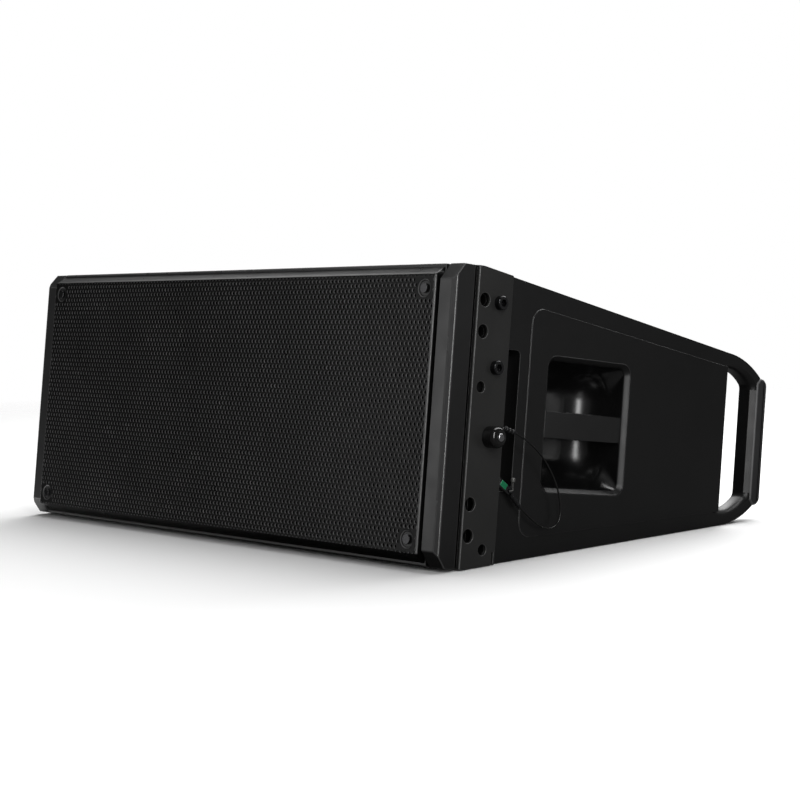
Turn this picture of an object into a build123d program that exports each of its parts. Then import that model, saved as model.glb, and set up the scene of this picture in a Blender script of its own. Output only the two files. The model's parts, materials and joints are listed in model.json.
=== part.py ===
from build123d import *
import math
import os

# Wedge-shaped loudspeaker cabinet for a vertical array, resting on its sloping underside.
# All sizes are in millimetres. Every piece is drawn in the cabinet's own axes (x across,
# y back from the front face, z up from the mid-plane), which lie tilted by the wedge angle in
# the part's frame, so that the underside lies flat at Z = 0 and the box is centred on the origin.

# Cabinet
half_width = 352.5
face_half = 128.0
roof_half = 144.0
cut_height = 320.0
chamfer_depth = 12.8
wedge_start = 37.0
wedge_end = 434.0
wedge_angle = 7.05
wall = 9.0
panel_front = 10.0
lip_chamfer = 1.5

# Side cheeks
cheek_inner = 327.0
cheek_face = 348.0
pad_face = 349.0
pad_start = 112.3
pad_half_front = 113.4
pad_half_rear = 79.5
pad_radius = 15.0
cheek_front = 26.4
groove_floor = 345.0
shoulder_middle = (470.0, 86.0)

# Rear carrying loops and bumpers
loop_inner = 327.5
loop_gap_start = 432.0
loop_gap_end = 483.3
loop_gap_half = 77.8
loop_arch_middle = (464.0, 73.6)
loop_arch_foot = 61.0
loop_corner_radius = 8.0
loop_outer_chamfer = 5.0
loop_inner_radius = 1.5
bumper_start = 488.6
bumper_end = 507.5
bumper_half = 71.4
bumper_rear_half = 62.4
bumper_seam_half = 65.4
bumper_seam_tip = 494.8
bumper_shoulder = (499.8, 70.6)
bumper_crown = (505.2, 67.2)
bumper_edge_radius = 3.0

# Corner bezels
bezel_inner = 330.0
bezel_face = 350.3
bezel_bevel = 3.8

# Rigging plates, guides and link bars
plate_thickness = 3.0
plate_inner = half_width - plate_thickness
plate_front = 30.0
plate_rear = 77.0
notch_front = 72.3
notch_rear = 75.0
notch_top = -126.8
link_line = 39.8
lower_link_line = 38.8
link_hole_upper = 112.1
link_hole_spacing = 30.1
plate_hole_radius = 6.75
plate_edge_chamfer = 0.8
upper_small_hole = (42.0, 29.4)
lower_small_hole = (59.2, -124.9)
small_hole_radius = 5.5
guide_inner = 333.0
guide_front = 29.0
guide_rear = 74.5
channel_inner = 338.0
channel_front = 31.0
channel_rear = 50.2
link_gap = 0.3
link_thickness = 10.0
link_hole_radius = 5.25
link_top = 136.0
link_bottom = -40.0
link_travel = 93.4
link_corner_radius = 5.0
bolt_line = 59.5
bolt_heights = (48.9, 110.8)
bolt_radius = 4.0
bolt_head_radius = 6.75
bolt_head_height = 6.0
bolt_head_chamfer = 0.7
hex_radius = 3.9
hex_depth = 3.5

# Access slots beside the plates
slot_front = 77.5
slot_rear = 98.5
slot_half = 68.3
slot_floor = 330.0
slot_radius = 5.0

# Quick-release lock pins
pin_y = 58.5
pin_z = -17.2
pin_radius = 5.0
running_gap = 0.05
pin_tip = 335.0
pin_tip_chamfer = 1.0
knob_radius = 10.5
knob_start = 352.8
knob_shoulder = 362.0
knob_dome_middle = (366.2, 8.6)
knob_dome_end = (367.5, 6.0)
knob_middle = 360.0
button_radius = 4.0
button_gap = 0.1
button_base = 357.0
button_end = 369.0
button_chamfer = 0.8
button_well = 354.5

# Lanyards
cord_radius = 0.9
bend_share = 0.45
ferrule_radius = 2.1
rib_radius = 2.5
rib_width = 1.6
rib_places = (0.2, 0.5, 0.8)
eye_radius = 1.2
eye_root = 8.5
pin_ferrule_start = (361.0, 69.0, -7.6)
pin_ferrule_end = (361.0, 84.1, -11.3)
tab_thickness = 2.4
tab_root_upper = -54.6
tab_root_lower = -63.4
tab_tip_upper = (95.4, -65.9)
tab_tip_lower = (91.0, -71.6)
tab_hole = (90.7, -67.6)
tab_hole_radius = 1.8
tag_centre = (83.0, -62.0)
tag_tilt = -31.0
tag_length = 9.0
tag_width = 5.6
tag_thickness = 0.5
ring_major = 2.4
ring_minor = 0.6

# Handle cups and grip bars
cup_front = 138.5
cup_rear = 266.0
cup_half = 68.0
cup_radius = 12.0
cup_rim = 0.5
cup_wall = 3.0
cup_floor = 290.0
cup_draft = 3.0
lip_depth = 4.5
mouth_radius = 8.0
mouth_draft = 6.0
bowl_radius = 30.0
grip_top = 13.2
grip_bottom = -14.0
grip_inner = 323.0
grip_outer_inset = 0.5
grip_inner_inset = 2.6
grip_front_radius = 1.0
grip_back_radius = 8.0

# Grille, foam and screws
grille_front = -3.0
grille_sheet = 1.5
grille_half_width = 327.3
grille_fold_half = 132.5
strip_end = 9.0
strip_half = 140.4
screw_x = 312.7
screw_z = 119.0
screw_radius = 2.5
screw_head_radius = 4.7
screw_head_height = 0.9
screw_length = 18.0
foam_depth = 6.5
foam_half_width = 322.0
foam_half_height = 128.0
foam_gap = 0.5

# Baffle and woofers
baffle_front = 34.0
baffle_rear = 49.0
boss_radius = 8.0
woofer_x = 192.0
woofer_hole = 118.0
basket_radius = 130.0
flange_front = 29.0
cone_outer = 105.0
coil_radius = 31.0
coil_front = 64.0
coil_rear = 106.0
coil_thickness = 1.5
frame_rear_radius = 66.0
spider_seat_radius = 58.0
magnet_front = 92.0
magnet_ring_front = 100.0
magnet_ring_rear = 120.0
magnet_radius = 76.0
yoke_radius = 70.0
magnet_rear = 128.0

# Waveguide and compression driver
horn_half_width = 52.0
horn_half_height = 120.0
horn_hole_half_width = 46.0
horn_hole_half_height = 112.0
horn_body_half_width = 45.0
horn_body_half_height = 111.0
horn_mouth_half_width = 42.0
horn_mouth_half_height = 108.0
horn_wall = 8.0
throat_depth = 150.0
throat_radius = 19.0
driver_radius = 45.0
driver_inner_radius = 37.0
driver_chamber_front = 172.0
driver_chamber_rear = 186.0
driver_cover = 4.0
driver_rear = 196.0

# Rear panel and electronics
panel_y = 428.0
panel_back = 432.0
sink_left = -300.0
sink_right = -60.0
sink_half = 72.0
sink_base = 5.0
fin_count = 16
fin_depth = 34.0
fin_thickness = 3.0
board_x = 160.0
board_y = 402.0
board_width = 280.0
board_height = 130.0
board_thickness = 1.6
block_places = ((60.0, 30.0), (110.0, -25.0), (200.0, 20.0), (260.0, -30.0))
block_width = 34.0
block_height = 24.0
block_depth = 22.0
supply_x = -170.0
supply_width = 200.0
supply_height = 120.0
supply_depth = 58.0
supply_edge_radius = 4.0
socket_radius = 12.0
socket_bore = 9.6
flange_width = 26.0
flange_height = 31.0
flange_thickness = 2.5
flange_corner_radius = 3.0
signal_depth = 22.0
power_depth = 18.0
signal_sockets_x = (100.0, 140.0)
power_sockets_x = (240.0, 280.0)
socket_z = -30.0
knob_x = 120.0
knob_z = 32.0
knob_shaft = 3.0
knob_shaft_length = 10.0
knob_size = 9.0
knob_gap = 0.5
knob_height = 14.0
knob_chamfer = 1.5
mark_width = 1.4
mark_length = 4.0
mark_depth = 1.0

# Rear splay bracket
ear_inner = 9.0
ear_outer = 13.0
bracket_half_width = 24.0
bracket_base = 436.0
bracket_half = 80.0
ear_rear = 490.0
ear_upper_corner = 66.0
ear_lower_corner = -74.0
ear_top_rear = 466.0
ear_bottom_rear = 480.0
pivot_y = 466.0
pivot_head_radius = 9.5
pivot_head_gap = 1.0
pivot_head_thickness = 4.0
pivot_z = 56.0
rear_pin_z = -66.0
rear_pin_radius = 6.0
rear_link_half = 12.0
rear_link_thickness = 16.0
rear_link_length = 96.0
rear_knob_radius = 11.0
rear_knob_length = 14.0
rear_knob_edge_radius = 3.0
rear_knob_gap = 0.5
rear_pin_overhang = 8.0

slope = math.tan(math.radians(wedge_angle))
tilt_sin = math.sin(math.radians(wedge_angle))
tilt_cos = math.cos(math.radians(wedge_angle))


def roof(y):
    """Half-height of the cabinet at a depth behind the front face."""
    return roof_half - max(0.0, y - wedge_start) * slope


# The underside lies in Z = 0, and the lowest front and highest rear corners are equally far away.
front_reach = grille_front * tilt_cos - grille_fold_half * tilt_sin
rear_reach = bumper_end * tilt_cos + bumper_rear_half * tilt_sin
cabinet_y = -(front_reach + rear_reach) / 2
cabinet_z = wedge_start * tilt_sin + roof_half * tilt_cos
cabinet = Plane(origin=(0, cabinet_y, cabinet_z), x_dir=(1, 0, 0), z_dir=(0, tilt_sin, tilt_cos))
backwards = Axis(cabinet.origin, cabinet.y_dir)
upwards = Axis(cabinet.origin, cabinet.z_dir)


def place(x, y, z):
    """A point of the cabinet in the part's frame."""
    return cabinet.from_local_coords((x, y, z))


def side_plane(x):
    """Seen from the right: drawn across in y and z, facing +x."""
    return Plane(origin=place(x, 0, 0), x_dir=cabinet.y_dir, z_dir=cabinet.x_dir)


def front_plane(y):
    """Seen from the front: drawn across in x and z, facing forwards."""
    return Plane(origin=place(0, y, 0), x_dir=cabinet.x_dir, z_dir=-cabinet.y_dir)


def level_plane(z):
    """Seen from above: drawn across in x and y, facing up."""
    return cabinet.offset(z)


def depth_axis(x, z):
    """A line from front to back."""
    return Axis(place(x, 0, z), cabinet.y_dir)


def cross_axis(y, z):
    """A line from left to right."""
    return Axis(place(0, y, z), cabinet.x_dir)


def write(piece, label):
    piece.label = label
    export_step(piece, f"parts/{label}.step")


def write_pair(piece, name):
    """The right-hand piece, and the left-hand one as its mirror image."""
    with BuildPart() as twin:
        mirror(piece, about=Plane.YZ)
    write(piece, f"{name}_right")
    write(twin.part, f"{name}_left")


def write_group(piece, label):
    """A right-hand piece and its mirror image together in one node."""
    with BuildPart() as group:
        add(piece)
        mirror(piece, about=Plane.YZ)
    write(group.part, label)


def is_loop_rim(edge):
    """Whether an edge runs round the loop's gap, behind the cabinet's own rear edge."""
    return (edge @ 0.5 - place(0, wedge_end, 0)).dot(cabinet.y_dir) > 0


os.makedirs("parts", exist_ok=True)

# ---- Top and bottom panels ----
for label, up in (("top_panel", 1), ("bottom_panel", -1)):
    with BuildPart() as panel:
        with BuildSketch(side_plane(-cheek_inner)):
            with BuildLine():
                Polyline(
                    (panel_front, up * (roof_half - wall)),
                    (panel_front, up * (roof_half - lip_chamfer)),
                    (panel_front + lip_chamfer, up * roof_half),
                    (wedge_start, up * roof_half),
                    (wedge_end, up * roof(wedge_end)),
                    (wedge_end, up * (roof(wedge_end) - wall)),
                    (wedge_start, up * (roof_half - wall)),
                    close=True,
                )
            make_face()
        extrude(amount=2 * cheek_inner)
    write(panel.part, label)

# ---- Side cheeks: moulded wall, carrying loop, handle opening, guide pocket and access slot ----
with BuildPart() as cheek:
    with BuildSketch(side_plane(cheek_inner)):
        with BuildLine():
            upper = Polyline(
                (cheek_front, 0),
                (cheek_front, roof_half),
                (wedge_start, roof_half),
                (wedge_end, roof(wedge_end)),
            )
            shoulder = ThreePointArc(upper @ 1, shoulder_middle, (bumper_seam_tip, bumper_half))
            Polyline(shoulder @ 1, (bumper_start, bumper_seam_half), (bumper_start, 0))
            mirror(about=Plane.XZ)
        make_face()
    extrude(amount=cheek_face - cheek_inner)
    with BuildSketch(side_plane(cheek_face)):
        with BuildLine():
            Polyline(
                (pad_start, -pad_half_front),
                (pad_start, pad_half_front),
                (loop_gap_start, pad_half_rear),
                (loop_gap_start, -pad_half_rear),
                close=True,
            )
        pad = make_face()
        fillet(pad.vertices().group_by(Axis.X)[0], radius=pad_radius)
    extrude(amount=pad_face - cheek_face)
    with BuildSketch(side_plane(cheek_inner)):
        with Locations(((wedge_end + bumper_end) / 2, 0)):
            Rectangle(bumper_end - wedge_end, 2 * roof_half)
    extrude(amount=loop_inner - cheek_inner, mode=Mode.SUBTRACT)
    with BuildSketch(side_plane(cheek_inner)):
        with BuildLine():
            half_front = Line((loop_gap_start, 0), (loop_gap_start, loop_gap_half))
            arch = ThreePointArc(half_front @ 1, loop_arch_middle, (loop_gap_end, loop_arch_foot))
            Line(arch @ 1, (loop_gap_end, 0))
            mirror(about=Plane.XZ)
        gap = make_face()
        fillet(gap.vertices().group_by(Axis.X)[-1], radius=loop_corner_radius)
    extrude(amount=pad_face - cheek_inner, mode=Mode.SUBTRACT)
    rim = [edge for edge in cheek.edges(Select.LAST).filter_by(Plane.YZ) if is_loop_rim(edge)]
    inner_rim, outer_rim = ShapeList(rim).group_by(Axis.X)
    chamfer(outer_rim, length=loop_outer_chamfer)
    fillet(inner_rim, radius=loop_inner_radius)
    with BuildSketch(side_plane(cheek_inner)):
        with Locations(((cup_front + cup_rear) / 2, 0)):
            RectangleRounded(cup_rear - cup_front, 2 * cup_half, cup_radius)
    extrude(amount=pad_face - cheek_inner, mode=Mode.SUBTRACT)
    with BuildSketch(side_plane(guide_inner)):
        with Locations(((guide_front + guide_rear) / 2, 0)):
            Rectangle(guide_rear - guide_front, cut_height)
    extrude(amount=pad_face - guide_inner, mode=Mode.SUBTRACT)
    with BuildSketch(side_plane(groove_floor)):
        with Locations((cheek_front, 0)):
            Rectangle(2 * (guide_front - cheek_front), cut_height)
    extrude(amount=pad_face - groove_floor, mode=Mode.SUBTRACT)
    with BuildSketch(side_plane(slot_floor)):
        with Locations(((slot_front + slot_rear) / 2, 0)):
            slot = Rectangle(slot_rear - slot_front, 2 * slot_half)
        fillet(slot.vertices().group_by(Axis.X)[-1], radius=slot_radius)
    extrude(amount=pad_face - slot_floor, mode=Mode.SUBTRACT)
write_pair(cheek.part, "side_cheek")

# ---- Rubber bumpers on the loops ----
with BuildPart() as bumper:
    with BuildSketch(side_plane(loop_inner)):
        with BuildLine():
            outer = Polyline(
                (bumper_start, 0),
                (bumper_start, bumper_seam_half),
                (bumper_seam_tip, bumper_half),
                bumper_shoulder,
            )
            crown = ThreePointArc(outer @ 1, bumper_crown, (bumper_end, bumper_rear_half))
            Line(crown @ 1, (bumper_end, 0))
            mirror(about=Plane.XZ)
        make_face()
    extrude(amount=pad_face - loop_inner)
    rear_edges = bumper.edges().filter_by(upwards).group_by(backwards)[-1]
    fillet(rear_edges, radius=bumper_edge_radius)
write_pair(bumper.part, "rear_bumper")

# ---- Moulded corner bezels beside the grille ----
with BuildPart() as bezel:
    with BuildSketch(level_plane(-roof_half)):
        with BuildLine():
            Polyline(
                (bezel_inner, 0),
                (bezel_face - bezel_bevel, 0),
                (bezel_face, bezel_bevel),
                (bezel_face, cheek_front),
                (bezel_inner, cheek_front),
                close=True,
            )
        make_face()
    extrude(amount=2 * roof_half)
    with BuildSketch(side_plane(bezel_inner)):
        with BuildLine():
            Polyline(
                (0, face_half),
                (chamfer_depth, roof_half),
                (cheek_front, roof_half),
                (cheek_front, -roof_half),
                (chamfer_depth, -roof_half),
                (0, -face_half),
                close=True,
            )
        make_face()
    extrude(amount=bezel_face - bezel_inner, mode=Mode.INTERSECT)
write_pair(bezel.part, "corner_bezel")

# ---- Steel rigging plates ----
link_holes = [(link_line, h) for h in (link_hole_upper, link_hole_upper - link_hole_spacing)]
link_holes += [(lower_link_line, -h) for y, h in link_holes]
with BuildPart() as plate:
    with BuildSketch(side_plane(plate_inner)):
        with BuildLine():
            Polyline(
                (plate_front, roof_half),
                (wedge_start, roof_half),
                (plate_rear, roof(plate_rear)),
                (plate_rear, -roof(plate_rear)),
                (wedge_start, -roof_half),
                (plate_front, -roof_half),
                close=True,
            )
        make_face()
        with Locations(*link_holes):
            Circle(plate_hole_radius, mode=Mode.SUBTRACT)
        with Locations(upper_small_hole, lower_small_hole):
            Circle(small_hole_radius, mode=Mode.SUBTRACT)
        with Locations(*[(bolt_line, h) for h in bolt_heights]):
            Circle(bolt_radius, mode=Mode.SUBTRACT)
        with Locations((pin_y, pin_z)):
            Circle(pin_radius + running_gap, mode=Mode.SUBTRACT)
        with Locations(((notch_front + notch_rear) / 2, notch_top - roof_half / 2)):
            Rectangle(notch_rear - notch_front, roof_half, mode=Mode.SUBTRACT)
    extrude(amount=plate_thickness)
    outer_rim = plate.faces().sort_by(Axis.X)[-1].outer_wire().edges()
    chamfer(outer_rim.filter_by(upwards).sort_by(backwards)[0], length=plate_edge_chamfer)
write_pair(plate.part, "rigging_plate")

# ---- Guides behind the plates ----
with BuildPart() as guide:
    with BuildSketch(side_plane(guide_inner)):
        with BuildLine():
            Polyline(
                (guide_front, roof_half),
                (wedge_start, roof_half),
                (guide_rear, roof(guide_rear)),
                (guide_rear, -roof(guide_rear)),
                (wedge_start, -roof_half),
                (guide_front, -roof_half),
                close=True,
            )
        make_face()
    extrude(amount=plate_inner - guide_inner)
    with BuildSketch(side_plane(channel_inner)):
        with Locations(((channel_front + channel_rear) / 2, 0)):
            Rectangle(channel_rear - channel_front, cut_height)
    extrude(amount=plate_inner - channel_inner, mode=Mode.SUBTRACT)
    with BuildSketch(side_plane(guide_inner)):
        with Locations(*[(bolt_line, h) for h in bolt_heights]):
            Circle(bolt_radius)
        with Locations((pin_y, pin_z)):
            Circle(pin_radius + running_gap)
        with Locations(lower_small_hole):
            Circle(small_hole_radius)
    extrude(amount=plate_inner - guide_inner, mode=Mode.SUBTRACT)
write_pair(guide.part, "link_guide")

# ---- Front link bars, which slide up into the cabinet above ----
link_front = channel_front + link_gap
link_rear = channel_rear - link_gap
bar_holes = [link_hole_upper, link_hole_upper - link_hole_spacing]
bar_holes += [h - link_travel for h in bar_holes]
with BuildPart() as link:
    with BuildSketch(side_plane(channel_inner + link_gap)):
        with Locations(((link_front + link_rear) / 2, (link_top + link_bottom) / 2)):
            RectangleRounded(link_rear - link_front, link_top - link_bottom, link_corner_radius)
        with Locations(*[(link_line, h) for h in bar_holes]):
            Circle(link_hole_radius, mode=Mode.SUBTRACT)
    extrude(amount=link_thickness)
write_pair(link.part, "front_link")

# ---- Socket-head bolts that hold the plates ----
with BuildPart() as bolts:
    with BuildSketch(side_plane(pin_tip)):
        with Locations(*[(bolt_line, h) for h in bolt_heights]):
            Circle(bolt_radius)
    extrude(amount=half_width - pin_tip)
    with BuildSketch(side_plane(half_width)):
        with Locations(*[(bolt_line, h) for h in bolt_heights]):
            Circle(bolt_head_radius)
    extrude(amount=bolt_head_height)
    chamfer(bolts.faces().sort_by(Axis.X)[-2:].edges(), length=bolt_head_chamfer)
    with BuildSketch(side_plane(half_width + bolt_head_height - hex_depth)):
        with Locations(*[(bolt_line, h) for h in bolt_heights]):
            RegularPolygon(hex_radius, 6)
    extrude(amount=hex_depth, mode=Mode.SUBTRACT)
write_group(bolts.part, "plate_bolts")

# ---- Quick-release lock pins: shank, knob with an eye for the lanyard, push button ----
ferrule_start = place(*pin_ferrule_start)
ferrule_end = place(*pin_ferrule_end)
knob_centre = place(knob_middle, pin_y, pin_z)
eye_way = (ferrule_start - knob_centre).normalized()
with BuildPart() as lock_pin:
    with BuildSketch(level_plane(pin_z)):
        with BuildLine():
            shank = Polyline(
                (button_well, pin_y),
                (pin_tip, pin_y),
                (pin_tip, pin_y + pin_radius - pin_tip_chamfer),
                (pin_tip + pin_tip_chamfer, pin_y + pin_radius),
                (knob_start, pin_y + pin_radius),
                (knob_start, pin_y + knob_radius),
                (knob_shoulder, pin_y + knob_radius),
            )
            dome_middle = Vector(0, pin_y) + Vector(*knob_dome_middle)
            dome = ThreePointArc(shank @ 1, dome_middle, Vector(0, pin_y) + Vector(*knob_dome_end))
            Polyline(
                dome @ 1,
                (knob_dome_end[0], pin_y + button_radius + button_gap),
                (button_well, pin_y + button_radius + button_gap),
                shank @ 0,
            )
        make_face()
    revolve(axis=cross_axis(pin_y, pin_z))
    with BuildSketch(Plane(origin=knob_centre + eye_way * eye_root, z_dir=eye_way)):
        Circle(eye_radius)
    extrude(amount=(ferrule_start - knob_centre).length - eye_root)
write_pair(lock_pin.part, "lock_pin")

with BuildPart() as button:
    with BuildSketch(level_plane(pin_z)):
        with BuildLine():
            Polyline(
                (button_base, pin_y),
                (button_base, pin_y + button_radius),
                (button_end - button_chamfer, pin_y + button_radius),
                (button_end, pin_y + button_radius - button_chamfer),
                (button_end, pin_y),
                close=True,
            )
        make_face()
    revolve(axis=cross_axis(pin_y, pin_z))
write_pair(button.part, "pin_button")


def crimped_ferrule(start, end):
    """A crimped sleeve with three pressed ribs, between two points."""
    way = (end - start).normalized()
    length = (end - start).length
    with BuildPart() as ferrule:
        with BuildSketch(Plane(origin=start, z_dir=way)):
            Circle(ferrule_radius)
        extrude(amount=length)
        for share in rib_places:
            rib_start = start + way * (length * share - rib_width / 2)
            with BuildSketch(Plane(origin=rib_start, z_dir=way)):
                Circle(rib_radius)
            extrude(amount=rib_width)
    return ferrule.part


write_pair(crimped_ferrule(ferrule_start, ferrule_end), "pin_ferrule")

# The lanyard's route from the pin's ferrule to the anchor's: back, down and forward in one loop.
lanyard_route = [
    (361.0, 84.6, -11.4),
    (360.6, 99.5, -16.5),
    (360.2, 113.5, -23.3),
    (359.8, 127.0, -32.0),
    (359.2, 139.0, -43.0),
    (358.6, 149.0, -54.5),
    (358.0, 157.0, -67.5),
    (357.3, 162.5, -82.0),
    (356.6, 162.5, -95.0),
    (355.8, 153.0, -103.2),
    (355.0, 139.5, -102.0),
    (354.2, 123.0, -94.0),
    (353.2, 106.5, -82.6),
]
route = [place(*point) for point in lanyard_route]
runs = [b - a for a, b in zip(route, route[1:])]
radii = []
for before, after in zip(runs, runs[1:]):
    half_turn = math.radians(before.get_angle(after)) / 2
    radii.append(bend_share * min(before.length, after.length) / math.tan(half_turn))
print("lanyard bend radii", [round(r, 1) for r in radii])
with BuildPart() as lanyard:
    with BuildLine() as lanyard_path:
        FilletPolyline(*route, radius=radii)
    with BuildSketch(Plane(origin=route[0], z_dir=runs[0])):
        Circle(cord_radius)
    sweep(path=lanyard_path.wire())
cord_length = lanyard_path.wire().length
print("lanyard length", round(cord_length, 1), "volume", round(lanyard.part.volume, 1))
print("section times length", round(math.pi * cord_radius**2 * cord_length, 1))
write_pair(lanyard.part, "lanyard")

# ---- Anchor tab on the plate's rear edge, its tag, and the lanyard's lower ferrule and ring ----
tab_inner = half_width - tab_thickness
with BuildPart() as tab:
    with BuildSketch(side_plane(tab_inner)):
        with BuildLine():
            Polyline(
                (plate_rear, tab_root_upper),
                tab_tip_upper,
                tab_tip_lower,
                (plate_rear, tab_root_lower),
                close=True,
            )
        make_face()
        with Locations(tab_hole):
            Circle(tab_hole_radius, mode=Mode.SUBTRACT)
    extrude(amount=tab_thickness)
write_group(tab.part, "lanyard_anchors")

with BuildPart() as tag:
    with BuildSketch(side_plane(half_width)):
        with Locations(Location(tag_centre, tag_tilt)):
            Rectangle(tag_length, tag_width)
    extrude(amount=tag_thickness)
write_group(tag.part, "anchor_tags")

anchor_eye = place(tab_inner + tab_thickness / 2, *tab_hole)
anchor_way = (route[-1] - anchor_eye).normalized()
ring_side = cabinet.x_dir.cross(anchor_way)
with BuildPart() as anchor_ferrule:
    with BuildSketch(Plane(origin=anchor_eye, x_dir=anchor_way, z_dir=ring_side.cross(anchor_way))):
        Circle(ring_minor)
    revolve(axis=Axis(anchor_eye + anchor_way * ring_major, ring_side))
    add(crimped_ferrule(anchor_eye + anchor_way * 2 * ring_major, route[-1]))
write_group(anchor_ferrule.part, "anchor_ferrules")

# ---- Handle cups: a flanged bowl let into each cheek ----
cup_middle = (cup_front + cup_rear) / 2
cup_length = cup_rear - cup_front
mouth_inset = cup_rim + lip_depth
mouth_level = pad_face - lip_depth
with BuildPart() as cup:
    with BuildSketch(side_plane(pad_face)):
        with Locations((cup_middle, 0)):
            RectangleRounded(cup_length, 2 * cup_half, cup_radius)
    extrude(amount=cup_floor - cup_wall - pad_face, taper=cup_draft)
    with BuildSketch(side_plane(pad_face)):
        with Locations((cup_middle, 0)):
            RectangleRounded(cup_length - 2 * cup_rim, 2 * (cup_half - cup_rim), cup_radius)
    extrude(amount=-lip_depth, taper=45.0, mode=Mode.SUBTRACT)
    with BuildSketch(side_plane(mouth_level)):
        with Locations((cup_middle, 0)):
            RectangleRounded(cup_length - 2 * mouth_inset, 2 * (cup_half - mouth_inset), mouth_radius)
    extrude(amount=cup_floor - mouth_level, taper=mouth_draft, mode=Mode.SUBTRACT)
    bowl_edges = cup.faces().filter_by(Plane.YZ).sort_by(Axis.X)[1].edges()
    fillet(bowl_edges, radius=bowl_radius)
write_pair(cup.part, "handle_cup")

with BuildPart() as grip:
    with BuildSketch(level_plane(grip_bottom)):
        with BuildLine():
            Polyline(
                (mouth_level, cup_front + mouth_inset + grip_outer_inset),
                (mouth_level, cup_rear - mouth_inset - grip_outer_inset),
                (grip_inner, cup_rear - mouth_inset - grip_inner_inset),
                (grip_inner, cup_front + mouth_inset + grip_inner_inset),
                close=True,
            )
        make_face()
    extrude(amount=grip_top - grip_bottom)
    back_face, front_face = grip.faces().filter_by(Axis.X).sort_by(Axis.X)
    fillet(front_face.edges().filter_by(backwards), radius=grip_front_radius)
    fillet(back_face.edges().filter_by(backwards), radius=grip_back_radius)
write_pair(grip.part, "grip_bar")

# ---- Grille: folded steel sheet ----
with BuildPart() as grille:
    with BuildSketch(side_plane(-grille_half_width)):
        with BuildLine():
            Polyline(
                (strip_end, -strip_half),
                (grille_front, -grille_fold_half),
                (grille_front, grille_fold_half),
                (strip_end, strip_half),
            )
            offset(amount=grille_sheet, side=Side.RIGHT)
        make_face()
    extrude(amount=2 * grille_half_width)
    with BuildSketch(front_plane(grille_front)):
        with GridLocations(2 * screw_x, 2 * screw_z, 2, 2):
            Circle(screw_radius)
    extrude(amount=-grille_sheet, mode=Mode.SUBTRACT)
write(grille.part, "front_grille")

foam_front = grille_front + grille_sheet
with BuildPart() as foam:
    with BuildSketch(front_plane(foam_front)):
        Rectangle(2 * foam_half_width, 2 * foam_half_height)
        with GridLocations(2 * screw_x, 2 * screw_z, 2, 2):
            Circle(boss_radius + foam_gap, mode=Mode.SUBTRACT)
    extrude(amount=-foam_depth)
write(foam.part, "grille_foam")

with BuildPart() as screws:
    with BuildSketch(front_plane(grille_front)):
        with GridLocations(2 * screw_x, 2 * screw_z, 2, 2):
            Circle(screw_radius)
    extrude(amount=-screw_length)
    with BuildSketch(front_plane(grille_front)):
        with GridLocations(2 * screw_x, 2 * screw_z, 2, 2):
            Circle(screw_head_radius)
    extrude(amount=screw_head_height)
write(screws.part, "grille_screws")

# ---- Front baffle with the bosses that carry the grille screws ----
with BuildPart() as baffle:
    with BuildSketch(front_plane(baffle_front)):
        Rectangle(2 * cheek_inner, 2 * (roof(baffle_rear) - wall))
        with Locations((woofer_x, 0), (-woofer_x, 0)):
            Circle(woofer_hole, mode=Mode.SUBTRACT)
        Rectangle(2 * horn_hole_half_width, 2 * horn_hole_half_height, mode=Mode.SUBTRACT)
    extrude(amount=baffle_front - baffle_rear)
    with BuildSketch(front_plane(baffle_front)):
        with GridLocations(2 * screw_x, 2 * screw_z, 2, 2):
            Circle(boss_radius)
            Circle(screw_radius, mode=Mode.SUBTRACT)
    extrude(amount=baffle_front - foam_front)
write(baffle.part, "front_baffle")


# ---- Woofers ----
def revolved(outline, x):
    """A piece turned about the driver's axis from its outline of (radius, depth) points."""
    with BuildPart() as turned:
        with BuildSketch(level_plane(0)):
            with BuildLine():
                Polyline(*[(x + radius, y) for radius, y in outline], close=True)
            make_face()
        revolve(axis=depth_axis(x, 0))
    return turned.part


basket_outline = [
    (woofer_hole - 1, flange_front),
    (basket_radius, flange_front),
    (basket_radius, baffle_front),
    (woofer_hole - 1, baffle_front),
    (frame_rear_radius, magnet_front - 4),
    (frame_rear_radius, magnet_front),
    (spider_seat_radius, magnet_front),
    (spider_seat_radius, magnet_front - 6),
    (woofer_hole - 5, baffle_front),
]
magnet_outline = [
    (0.0, magnet_front - 2),
    (coil_radius - 1.5, magnet_front - 2),
    (coil_radius - 1.5, magnet_ring_rear),
    (coil_radius + 4, magnet_ring_rear),
    (coil_radius + 4, magnet_front),
    (frame_rear_radius, magnet_front),
    (frame_rear_radius, magnet_ring_front),
    (magnet_radius, magnet_ring_front),
    (magnet_radius, magnet_ring_rear),
    (yoke_radius, magnet_ring_rear),
    (yoke_radius, magnet_rear),
    (0.0, magnet_rear),
]
cone_outline = [
    (cone_outer, 24.0),
    (cone_outer, 25.2),
    (coil_radius + 1.6, coil_front),
    (coil_radius + 0.2, coil_front),
    (coil_radius + 0.2, coil_front - 2),
]
cap_outline = [
    (0.0, 50.0),
    (14.0, 52.0),
    (25.0, 56.5),
    (coil_radius, 61.8),
    (coil_radius, 62.8),
    (24.0, 57.6),
    (13.0, 53.0),
    (0.0, 51.0),
]
coil_outline = [
    (coil_radius, coil_front),
    (coil_radius + coil_thickness, coil_front),
    (coil_radius + coil_thickness, coil_rear),
    (coil_radius, coil_rear),
]
surround_outline = [
    (cone_outer + 0.3, 26.0),
    (cone_outer + 0.3, 24.5),
    (108.0, 21.0),
    (112.0, 19.6),
    (116.0, 21.0),
    (119.0, 27.5),
    (124.0, 27.5),
    (124.0, flange_front),
    (118.0, flange_front),
    (114.8, 22.3),
    (112.0, 21.2),
    (109.2, 22.3),
]
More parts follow.
